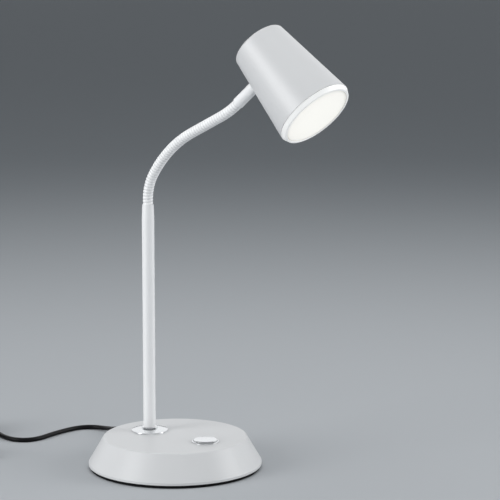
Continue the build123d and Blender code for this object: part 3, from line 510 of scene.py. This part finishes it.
# %% Finishes: rubber, foam and ties
lead_rubber = grain_finish(
    "lead_rubber",
    (0.005, 0.005, 0.006),
    shade=0.7,
    fineness=1400.0,
    roughness=0.5,
    gloss_change=0.16,
    bump=0.2,
    bump_reach=shallow_bump,
    Specular_IOR_Level=0.15,
)
pad_foam = grain_finish(
    "pad_foam",
    (0.006, 0.006, 0.007),
    shade=0.5,
    fineness=1300.0,
    roughness=0.95,
    gloss_change=0.1,
    bump=0.8,
    bump_reach=coarse_bump,
    Specular_IOR_Level=0.2,
)
moulded_black = grain_finish(
    "moulded_black",
    (0.018, 0.018, 0.02),
    shade=0.7,
    fineness=1000.0,
    roughness=0.55,
    gloss_change=0.15,
    bump=0.3,
)
tie_strap = grain_finish(
    "tie_strap",
    (0.03, 0.03, 0.033),
    shade=0.4,
    fineness=2200.0,
    roughness=0.9,
    gloss_change=0.15,
    bump=0.7,
    bump_reach=strap_bump,
)
print("finishes:", lead_rubber.name, pad_foam.name, moulded_black.name, tie_strap.name)

# %% Finishes: parts inside
board_green = grain_finish(
    "board_green",
    (0.02, 0.12, 0.05),
    shade=0.7,
    fineness=300.0,
    roughness=0.4,
    gloss_change=0.1,
    bump=0.1,
)
chip_yellow = grain_finish(
    "chip_yellow",
    (0.85, 0.6, 0.12),
    shade=0.85,
    fineness=1500.0,
    roughness=0.5,
    gloss_change=0.1,
)
core_sheath = grain_finish(
    "core_sheath",
    (0.5, 0.5, 0.5),
    shade=0.85,
    fineness=1200.0,
    roughness=0.5,
    gloss_change=0.1,
    bump=0.1,
)
print("finishes:", board_green.name, chip_yellow.name, core_sheath.name)

# %% [markdown]
# A plug's pins are nickel with an insulating sleeve on the half nearest the body.
# Both are one solid, so a step along X in object space changes the colour, the metalness
# and the roughness.

# %% Finish: sleeved pins
bare_length = 9 * MM
pins_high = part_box("plug_pins")[1]
sleeve_edge = pins_high[0] - bare_length
sleeve_black = (0.015, 0.015, 0.017, 1.0)
sleeve_roughness = 0.55
sleeved_pin = metal_finish(
    "sleeved_pin",
    (0.66, 0.64, 0.6),
    shade=0.85,
    fineness=700.0,
    low_gloss=0.15,
    high_gloss=0.3,
)
tree = sleeved_pin.node_tree
shader = tree.nodes["Principled BSDF"]
where = place(tree, "ShaderNodeTexCoord").outputs["Object"]
along = place(tree, "ShaderNodeSeparateXYZ", {"Vector": where}).outputs["X"]
is_bare = calculate(tree, "GREATER_THAN", along, sleeve_edge)
bare_colour = shader.inputs["Base Color"].links[0].from_socket
bare_gloss = shader.inputs["Roughness"].links[0].from_socket
tree.links.new(mix_colours(tree, is_bare, sleeve_black, bare_colour), shader.inputs["Base Color"])
tree.links.new(is_bare, shader.inputs["Metallic"])
tree.links.new(spread(tree, is_bare, sleeve_roughness, bare_gloss), shader.inputs["Roughness"])
print("finish:", sleeved_pin.name, "bare beyond", round(sleeve_edge, 4))

# %% [markdown]
# Every CAD node gets its finish, also where another piece takes its place below
# or where it lies out of sight.
# One table of finishes and names is easier to check than a line for each node.

# %% Dress the CAD nodes
dressing = {
    powder_white: ["base_shell", "shade"],
    lit_tube_white: ["post", "neck_sleeve"],
    hose_white: [name for name in nodes if name.startswith("neck_link")],
    ring_white: ["reflector", "driver_tray", "driver_cover"],
    ring_glow: ["front_ring"],
    opal_light: ["diffuser"],
    bright_chrome: ["rosette", "post_collar", "button_cap", "button_bezel"],
    zinc_steel: [
        "base_plate",
        "base_screws",
        "post_nipple",
        "post_nut",
        "post_washer",
        "bezel_nut",
        "head_nut",
        "head_saddle",
        "clamp_screws",
        "button_spring",
    ],
    cast_iron: ["base_weight"],
    bare_aluminium: ["heat_sink", "led_board"],
    lead_rubber: ["cord_gland", "lead_tail", "mains_lead", "lead_coil", "plug_lead"],
    pad_foam: ["base_pad"],
    moulded_black: ["plug_body", "switch_body", "clamp_block", "clamp_bridge", "driver_parts"],
    tie_strap: ["lead_ties"],
    board_green: ["driver_board"],
    chip_yellow: ["led_chips"],
    core_sheath: ["mains_cores", "switch_wires", "lamp_wire", "head_wire"],
    sleeved_pin: ["plug_pins"],
}
for material, names in dressing.items():
    for name in names:
        for slot in nodes[name].material_slots:
            slot.material = material
undressed = set(nodes) - {name for names in dressing.values() for name in names}
print("dressed:", len(nodes) - len(undressed), "nodes, left over:", sorted(undressed))

# %% [markdown]
# The neck is a hose wound from one strip,
# so its ribs climb as a right-hand helix and never close into rings.
# A stack of rings would be easier, but a grid that climbs with the helix keeps every groove sharp.
# The hose is cut at the middle of each hidden link, so that each length lies over one hinge of the
# frame.
# Its centreline is worked out in millimetres:
# a straight start, two bends forward, a straight and one bend back.

# %% Hose: the centreline
post_low, post_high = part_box("post")
post_x = (post_low[0] + post_high[0]) / 2
post_top = post_high[2]


def arc(radius, degrees):
    """Length and curvature of an arc, which bends forward where its angle is negative."""
    return radius * math.radians(abs(degrees)), math.copysign(1 / radius, degrees)


hose_runs = [(4.5, 0.0), arc(47.0, -33.0), arc(122.0, -30.6), (40.5, 0.0), arc(100.0, 14.0)]
hose_length = sum(length for length, curve in hose_runs)
hinge_inset = 4.0
hinge_count = 12
link_pitch = (hose_length - 2 * hinge_inset) / (hinge_count - 1)
rib_pitch = 3.1


def hose_station(along):
    """Place and heading of the hose's centreline, for a distance in millimetres from the post's rim."""
    x, z, heading = post_x / MM, post_top / MM, math.pi / 2
    if along <= 0:
        return Vector((x, 0, z + along)) * MM, heading
    for length, curve in hose_runs + [(math.inf, 0.0)]:
        step = min(length, along)
        turn = step * curve
        chord = step if curve == 0 else 2 / abs(curve) * math.sin(abs(turn) / 2)
        x += chord * math.cos(heading + turn / 2)
        z += chord * math.sin(heading + turn / 2)
        heading += turn
        along -= step
        if along <= 0:
            return Vector((x, 0, z)) * MM, heading


first_hinge = Vector(frame["joints"][0]["pos_m"])
off = (hose_station(hinge_inset)[0] - first_hinge).length
print("hose:", round(hose_length, 1), "mm, rib pitch", rib_pitch, "first hinge off by", round(off, 6))

# %% Hose: the whole surface
hose_radius = 4.9
groove_depth = 0.5
rib_roundness = 0.5
steps_per_rib = 10
sides = 48
hose_from = -5.5
hose_to = hose_length + 5.0


def groove_share(row):
    """How deep a row lies: 0 on top of a rib and 1 in the groove between two ribs."""
    return 1 - math.sin(math.pi * (row % steps_per_rib) / steps_per_rib) ** rib_roundness


def hose_point(row, side):
    """A point of the hose's skin. Rows climb with the helix, so a full turn gains one rib."""
    along = hose_from + (row / steps_per_rib + side / sides) * rib_pitch
    centre, heading = hose_station(along)
    radius = (hose_radius - groove_depth * groove_share(row)) * MM
    angle = 2 * math.pi * side / sides
    across = Vector((0, 1, 0)) * math.cos(angle)
    upward = Vector((-math.sin(heading), 0, math.cos(heading))) * math.sin(angle)
    return centre + (across + upward) * radius


row_count = int((hose_to - hose_from) / rib_pitch) * steps_per_rib
skin_points = [hose_point(row, side) for row in range(row_count + 1) for side in range(sides)]


def skin_corner(row, side):
    """Index of a grid corner. One full turn on, it is the corner one rib further up."""
    if side == sides:
        return (row + steps_per_rib) * sides
    return row * sides + side


skin_faces = {}
for row in range(row_count):
    for side in range(sides):
        corners = [(row, side), (row, side + 1), (row + 1, side + 1), (row + 1, side)]
        face = [skin_corner(*corner) for corner in corners]
        if max(face) < len(skin_points):
            skin_faces[row, side] = face
whole = bpy.data.meshes.new("hose_whole")
whole.from_pydata(skin_points, [], list(skin_faces.values()))
whole.update()
skin_normals = [vertex.normal.copy() for vertex in whole.vertices]
bpy.data.meshes.remove(whole)
print("hose: skin of", len(skin_points), "points and", len(skin_faces), "faces")

# %% Hose: cut into lengths, one over each hinge
hinge_stations = [hinge_inset + number * link_pitch for number in range(hinge_count)]
link_middles = [(low + high) / 2 for low, high in zip(hinge_stations, hinge_stations[1:])]
cut_rows = [round((middle - hose_from) / rib_pitch) * steps_per_rib for middle in link_middles]
row_bounds = [0] + cut_rows + [row_count]
for number in range(hinge_count):
    first_row, last_row = row_bounds[number], row_bounds[number + 1]
    faces = [face for (row, side), face in skin_faces.items() if first_row <= row < last_row]
    used = sorted({corner for face in faces for corner in face})
    index_of = {corner: index for index, corner in enumerate(used)}
    points = [skin_points[corner] for corner in used]
    mesh = bpy.data.meshes.new(f"hose_length_{number + 1:02d}")
    mesh.from_pydata(points, [], [[index_of[corner] for corner in face] for face in faces])
    mesh.polygons.foreach_set("use_smooth", [True] * len(mesh.polygons))
    mesh.normals_split_custom_set_from_vertices([skin_normals[corner] for corner in used])
    depths = mesh.attributes.new("groove", "FLOAT", "POINT")
    depths.data.foreach_set("value", [groove_share(corner // sides) for corner in used])
    mesh.materials.append(hose_white)
    piece = bpy.data.objects.new(mesh.name, mesh)
    bpy.context.scene.collection.objects.link(piece)
    low = 0.0 if number == 0 else hose_from + (first_row / steps_per_rib + 1) * rib_pitch
    high = hose_length if number == hinge_count - 1 else hose_from + last_row / steps_per_rib * rib_pitch
    hose_station(low)[0]
    hose_station(high)[0]
    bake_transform(piece)
    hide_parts(f"neck_link_{number + 2:02d}")
    if number == 0:
        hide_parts("neck_link_01")
print("hose:", hinge_count, "lengths, each over one hinge")

# %% [markdown]
# The strain relief and the plug are soft mouldings:
# rows of cross-sections, joined like the hoops of a barrel. One helper joins the rows.
# A box with round edges could be the plug, but sections let it grow from round to nearly square.
# Each section lies between an ellipse and a rectangle, and its squareness says where.

# %% Mouldings: the helpers
section_sides = 64
round_squareness = 2
sharp_edge = math.radians(50)
rib_profile = ((0.0, 1.0), (0.12, 0.25), (0.2, 0.0), (0.62, 0.0), (0.7, 0.25), (0.82, 1.0))


def section(half_width, half_height, squareness):
    """Points of a rounded outline: squareness 2 is an ellipse, and more is nearer to a rectangle."""
    outline = []
    for number in range(section_sides):
        angle = 2 * math.pi * number / section_sides
        cosine, sine = math.cos(angle), math.sin(angle)
        reach = (abs(cosine) ** squareness + abs(sine) ** squareness) ** (-1 / squareness)
        outline.append((half_width * reach * cosine, half_height * reach * sine))
    return outline


def moulding(name, rows, origin, along, across, material):
    """Joins rows of distance, half width, half height and squareness, in mm, into a closed skin."""
    upward = along.cross(across)
    points, faces = [], []
    for distance, half_width, half_height, squareness in rows:
        for sideways, up in section(half_width, half_height, squareness):
            points.append(origin + (along * distance + across * sideways + upward * up) * MM)
    for row in range(len(rows) - 1):
        for side in range(section_sides):
            after = (side + 1) % section_sides
            low, high = row * section_sides, (row + 1) * section_sides
            faces.append([low + side, low + after, high + after, high + side])
    faces.append(list(range(section_sides))[::-1])
    faces.append(list(range(len(points) - section_sides, len(points))))
    mesh = bpy.data.meshes.new(name)
    mesh.from_pydata(points, [], faces)
    mesh.polygons.foreach_set("use_smooth", [True] * len(mesh.polygons))
    mesh.set_sharp_from_angle(angle=sharp_edge)
    mesh.materials.append(material)
    piece = bpy.data.objects.new(name, mesh)
    bpy.context.scene.collection.objects.link(piece)
    print("moulding:", name, "of", len(rows), "rows")
    return piece


def circles(pairs):
    """Rows of round sections, from pairs of distance and radius."""
    return [(distance, radius, radius, round_squareness) for distance, radius in pairs]


def ribs(start, end, start_radius, end_radius, count, depth):
    """Rows of a tapered sleeve with rounded ribs and grooves between them."""
    pairs = []
    pitch = (end - start) / count
    for number in range(count):
        for share, drop in rib_profile:
            distance = start + (number + share) * pitch
            taper = (distance - start) / (end - start)
            pairs.append((distance, start_radius + (end_radius - start_radius) * taper - depth * drop))
    return circles(pairs)


print("mouldings: helpers for sections of", section_sides, "sides")

# %% Strain relief where the lead leaves the base
exit_angle = math.radians(160)
exit_way = Vector((math.cos(exit_angle), math.sin(exit_angle), 0))
exit_height = 11.0
exit_origin = Vector((0, 0, exit_height * MM))
flange_seat = 75.97
wall_radius = 80.73
tip_radius = 104.73
flange_rows = [
    (flange_seat - 2.0, 2.35),
    (flange_seat - 2.0, 5.3),
    (flange_seat - 1.7, 5.6),
    (flange_seat - 0.3, 5.6),
    (flange_seat, 5.3),
]
neck_rows = [(flange_seat, 4.2), (wall_radius + 2.2, 4.2), (wall_radius + 2.6, 4.05)]
tip_rows = [
    (tip_radius - 2.2, 3.1),
    (tip_radius - 0.5, 3.15),
    (tip_radius - 0.1, 2.95),
    (tip_radius, 2.6),
    (tip_radius, 2.32),
]
relief_rows = circles(flange_rows + neck_rows)
rib_start, rib_end = wall_radius + 3.0, tip_radius - 2.4
relief_rows += ribs(rib_start, rib_end, start_radius=4.1, end_radius=3.3, count=6, depth=0.6)
relief_rows += circles(tip_rows)
exit_across = Vector((0, 0, 1))
relief = moulding("strain_relief", relief_rows, exit_origin, exit_way, exit_across, lead_rubber)
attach(relief, "base")
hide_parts("cord_gland")

# %% Plug at the lead's end
plug_origin = Vector(lead_way_to_plug[-1]) * MM
plug_rows = circles([(0.0, 2.4), (0.0, 2.9), (0.3, 3.1)])
plug_rows += ribs(0.8, 20.0, start_radius=3.15, end_radius=4.2, count=7, depth=0.6)
plug_rows += circles([(20.4, 4.1), (21.6, 4.2)])
plug_rows += [(22.0, 4.6, 4.4, 2.2), (22.2, 6.4, 4.8, 3), (22.9, 7.5, 5.0, 4)]
grip_start = 22.0
grip_half_height = 5.0
grip_rise = 0.115
grip_squareness = 4.5
grip = [(25.0, 9.4), (26.0, 9.7), (26.8, 10.9), (28.2, 11.2), (29.0, 11.6), (29.8, 12.9)]
grip += [(31.2, 13.2), (32.0, 13.6), (32.8, 14.9), (34.2, 15.3), (35.0, 15.7), (35.8, 16.7)]
for distance, half_width in grip:
    half_height = grip_half_height + (distance - grip_start) * grip_rise
    plug_rows.append((distance, half_width, half_height, grip_squareness))
plug_rows += [(38.0, 17.0, 6.8, 5), (45.9, 17.0, 6.8, 5), (46.0, 16.85, 6.65, 5), (46.3, 16.85, 6.65, 5)]
plug_rows += [(46.4, 17.0, 6.8, 5), (52.6, 17.0, 6.8, 5), (53.5, 16.7, 6.5, 5), (54.0, 15.9, 5.7, 5)]
plug_way = Vector((1, 0, 0))
plug_across = Vector((0, 1, 0))
plug = moulding("moulded_plug", plug_rows, plug_origin, plug_way, plug_across, moulded_black)
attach(plug, "base")
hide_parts("plug_body")

lead_curve.materials.append(lead_rubber)
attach(lead, "base")
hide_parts("mains_lead", "lead_coil", "plug_lead")
print("lead: declared as 1.8 m, drawn", round(lead_length, 3), "m")

# %% [markdown]
# The studio is one wide round floor with no walls, so that the lamp can be seen from every side.
# The floor's colour is pale around the lamp and fades to a mid grey far away: a painted pool of light
# around the lamp.
# Large soft lights stand at the left and the right, as in a light tent.
# Weak ones fill from the front and above.

# %% Studio: floor
floor_radius = 9.0
floor_sides = 96
floor_mesh = bpy.data.meshes.new("studio_floor")
floor_points = []
for number in range(floor_sides):
    angle = 2 * math.pi * number / floor_sides
    floor_points.append((floor_radius * math.cos(angle), floor_radius * math.sin(angle), 0.0))
floor_mesh.from_pydata(floor_points, [], [list(range(floor_sides))])
floor_paper = grain_finish(
    "floor_paper",
    (0.48, 0.5, 0.52),
    shade=0.985,
    fineness=200.0,
    roughness=0.9,
    gloss_change=0.05,
)
painted_far_dimness = (0.2, 0.218, 0.234, 1.0)
light_pool_start, light_pool_end = 0.45, 2.6
tree = floor_paper.node_tree
paper = tree.nodes["Principled BSDF"].inputs["Base Color"]
where = place(tree, "ShaderNodeTexCoord").outputs["Object"]
# Painted pool of light: the floor's colour darkens with distance from the lamp.
from_lamp = vector_step(tree, "LENGTH", {0: where})
painted_light_pool = smooth_step(tree, from_lamp, light_pool_start, light_pool_end)
tree.links.new(mix_colours(tree, painted_light_pool, paper.links[0].from_socket, painted_far_dimness), paper)
floor_mesh.materials.append(floor_paper)
floor = bpy.data.objects.new("studio_floor", floor_mesh)
bpy.context.scene.collection.objects.link(floor)
print("studio: floor of", 2 * floor_radius, "m across")

# %% Studio: lights
view_turn = Matrix.Rotation(math.atan2(camera_way.y, camera_way.x), 4, "Z")
light_spread = math.radians(110)


def seen_from_camera(right, towards, height):
    """A place measured from the lamp as the camera sees it: to the right, towards the camera and up."""
    return view_turn @ Vector((-towards, -right, height))


def soft_light(name, place_at, look_at, width, height, power):
    """A soft light at a place, turned to a height above the base. The camera does not see it."""
    lamp = bpy.data.lights.new(name, "AREA")
    lamp.shape = "RECTANGLE"
    lamp.size = width
    lamp.size_y = height
    lamp.energy = power
    lamp.spread = light_spread
    holder = bpy.data.objects.new(name, lamp)
    holder.location = place_at
    holder.rotation_euler = (Vector((0, 0, look_at)) - place_at).to_track_quat("-Z", "Y").to_euler()
    holder.visible_camera = False
    bpy.context.scene.collection.objects.link(holder)
    return holder


left_place = seen_from_camera(right=-2.68, towards=1.35, height=1.35)
right_place = seen_from_camera(right=2.95, towards=0.1, height=1.35)
front_place = seen_from_camera(right=0.3, towards=2.6, height=0.8)
top_place = seen_from_camera(right=0.0, towards=0.3, height=2.8)
left_light = soft_light("left_light", left_place, look_at=1.35, width=1.6, height=2.3, power=31.0)
right_light = soft_light("right_light", right_place, look_at=1.35, width=1.6, height=2.3, power=26.0)
front_light = soft_light("front_light", front_place, look_at=0.8, width=1.4, height=1.0, power=2.2)
top_light = soft_light("top_light", top_place, look_at=0, width=1.8, height=1.8, power=8.4)
print("studio: four soft lights")

# %% [markdown]
# Photographers set flags so that chrome mirrors the tent and not the lights.
# Here light linking does that: three lights leave out a collection of the chrome pieces.
# The top light only gives diffuse light, so that it draws no second band on the glossy shade.

# %% Studio: flags
off_chrome = bpy.data.collections.new("off_chrome")
for name in dressing[bright_chrome]:
    off_chrome.objects.link(nodes[name])
for member in off_chrome.collection_objects:
    member.light_linking.link_state = "EXCLUDE"
for holder in (left_light, right_light, front_light):
    holder.light_linking.receiver_collection = off_chrome
top_light.visible_glossy = False

# %% [markdown]
# The world does two jobs. For most light it is a pale sky that lifts the shadows.
# To the camera, to mirrors and to clear parts it is a backdrop. It rises from the grey of the far floor
# to a near white behind the lamp and to a mid grey in front of it, like the room behind a camera.
# The chrome mirrors both: its flat tops are bright and its rims are dark.

# %% Studio: world
sky_colour = (0.9, 0.95, 1.0, 1.0)
sky_strength = 0.31
far_floor = (0.084, 0.092, 0.099, 1.0)
room_in_front = (0.22, 0.228, 0.236, 1.0)
paper_behind = (0.97, 0.985, 1.0, 1.0)
rise_start, rise_end = 0.02, 0.16
turn_start, turn_end = -0.1, 0.5
back_way = Vector((camera_way.x, camera_way.y, 0)).normalized()

world = bpy.data.worlds.new("studio_air")
world.use_nodes = True
tree = world.node_tree
sky = tree.nodes["Background"]
sky.inputs["Color"].default_value = sky_colour
sky.inputs["Strength"].default_value = sky_strength
way = place(tree, "ShaderNodeTexCoord").outputs["Generated"]
height = place(tree, "ShaderNodeSeparateXYZ", {"Vector": way}).outputs["Z"]
rise = smooth_step(tree, height, rise_start, rise_end)
backward = vector_step(tree, "DOT_PRODUCT", {0: way, 1: back_way})
behind = smooth_step(tree, backward, turn_start, turn_end)
around = mix_colours(tree, behind, room_in_front, paper_behind)
backdrop = mix_colours(tree, rise, far_floor, around)
seen = place(tree, "ShaderNodeBackground", {"Color": backdrop, "Strength": 1.0})
ray = place(tree, "ShaderNodeLightPath").outputs
mirrored = calculate(tree, "MAXIMUM", ray["Is Glossy Ray"], ray["Is Transmission Ray"])
is_seen = calculate(tree, "MAXIMUM", ray["Is Camera Ray"], mirrored)
air = place(tree, "ShaderNodeMixShader", {0: is_seen, 1: sky.outputs[0], 2: seen.outputs[0]})
tree.links.new(air.outputs["Shader"], tree.nodes["World Output"].inputs["Surface"])
bpy.context.scene.world = world
print("studio: world of", len(tree.nodes), "nodes")
